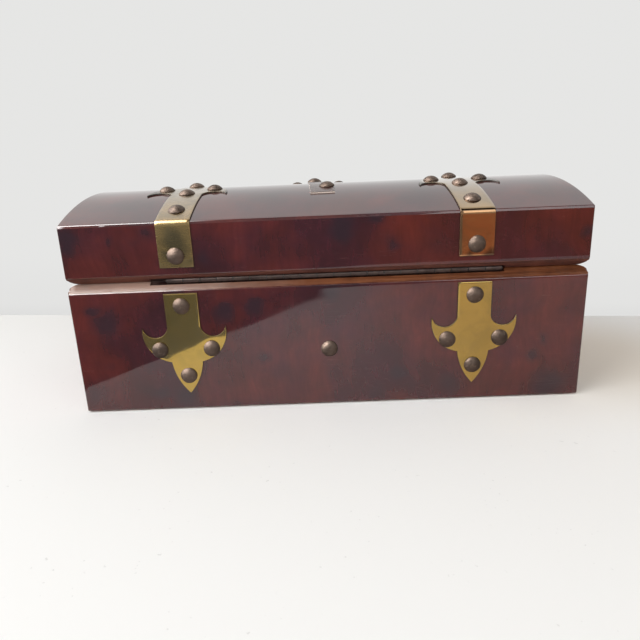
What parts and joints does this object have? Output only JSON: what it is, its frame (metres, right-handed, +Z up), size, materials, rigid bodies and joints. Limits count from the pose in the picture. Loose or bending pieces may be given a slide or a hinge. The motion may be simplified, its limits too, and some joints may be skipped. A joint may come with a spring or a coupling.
{
  "type": "lacquered wooden box",
  "caption": "Brass-bound lacquered wooden box with an arched lid on a full-length back hinge, anchor-ended straps, dome rivets and a front lock.",
  "frame": {"origin": "middle of the underside, on the surface the box stands on", "axes": "+X along the length of the box, +Y towards the hinge at the back, +Z up"},
  "size_m": [0.24, 0.13, 0.1077],
  "materials": {
    "lacquered_veneer": "glossy dark red-brown lacquer over figured veneer",
    "carcass_wood": "plain reddish wood, polished on its bare chamfers",
    "brass_sheet": "worn polished sheet brass with tarnish",
    "bronzed_rivet": "dark bronzed dome heads",
    "tarnished_hinge": "dull grey tarnish",
    "screw_steel": "dull",
    "lock_brass": "satin",
    "silk": "padded satin",
    "paper_lining": "velvet paper",
    "baize": "felted wool"
  },
  "bodies": {
    "base": {"base_back_board": "carcass_wood", "base_back_stud": "bronzed_rivet", "base_back_veneer": "lacquered_veneer", "base_bottom_board": "carcass_wood", "base_felt": "baize", "base_floor_pad": "silk", "base_front_board": "carcass_wood", "base_front_veneer": "lacquered_veneer", "base_hinge_leaf": "tarnished_hinge", "base_hinge_screws": "screw_steel", "base_key_plate": "brass_sheet", "base_left_end_board": "carcass_wood", "base_left_veneer": "lacquered_veneer", "base_mount_back_left": "brass_sheet", "base_mount_back_right": "brass_sheet", "base_mount_front_left": "brass_sheet", "base_mount_front_right": "brass_sheet", "base_right_end_board": "carcass_wood", "base_right_veneer": "lacquered_veneer", "base_rivets_back_left": "bronzed_rivet", "base_rivets_back_right": "bronzed_rivet", "base_rivets_front_key": "bronzed_rivet", "base_rivets_front_left": "bronzed_rivet", "base_rivets_front_right": "bronzed_rivet", "base_wall_lining": "paper_lining", "hinge_pin": "tarnished_hinge", "lock_case": "lock_brass", "lock_screws": "screw_steel", "lock_selvedge": "lock_brass"},
    "lid": {"lid_back_board": "carcass_wood", "lid_back_veneer": "lacquered_veneer", "lid_centre_strap": "brass_sheet", "lid_front_board": "carcass_wood", "lid_front_veneer": "lacquered_veneer", "lid_hinge_leaf": "tarnished_hinge", "lid_hinge_screws": "screw_steel", "lid_left_end_board": "carcass_wood", "lid_left_veneer": "lacquered_veneer", "lid_lining_pad": "silk", "lid_link_plate": "lock_brass", "lid_link_screws": "screw_steel", "lid_right_end_board": "carcass_wood", "lid_right_veneer": "lacquered_veneer", "lid_rivets_back_left": "bronzed_rivet", "lid_rivets_back_right": "bronzed_rivet", "lid_rivets_centre": "bronzed_rivet", "lid_rivets_front_left": "bronzed_rivet", "lid_rivets_front_right": "bronzed_rivet", "lid_strap_back_left": "brass_sheet", "lid_strap_back_right": "brass_sheet", "lid_strap_front_left": "brass_sheet", "lid_strap_front_right": "brass_sheet", "lid_top_board": "carcass_wood", "lid_top_veneer": "lacquered_veneer", "lid_wall_lining": "paper_lining"},
    "lock_bolt": {"lock_bolt": "lock_brass"}
  },
  "joints": [
    {"name": "lid_hinge", "type": "hinge", "parent": "base", "child": "lid", "pos_m": [0, 0.059, 0.0635], "axis": [-1, 0, 0], "range_deg": [0, 90]},
    {"name": "lock_bolt_slide", "type": "slide", "parent": "base", "child": "lock_bolt", "axis": [1, 0, 0], "range_m": [0, 0.0032]}
  ]
}
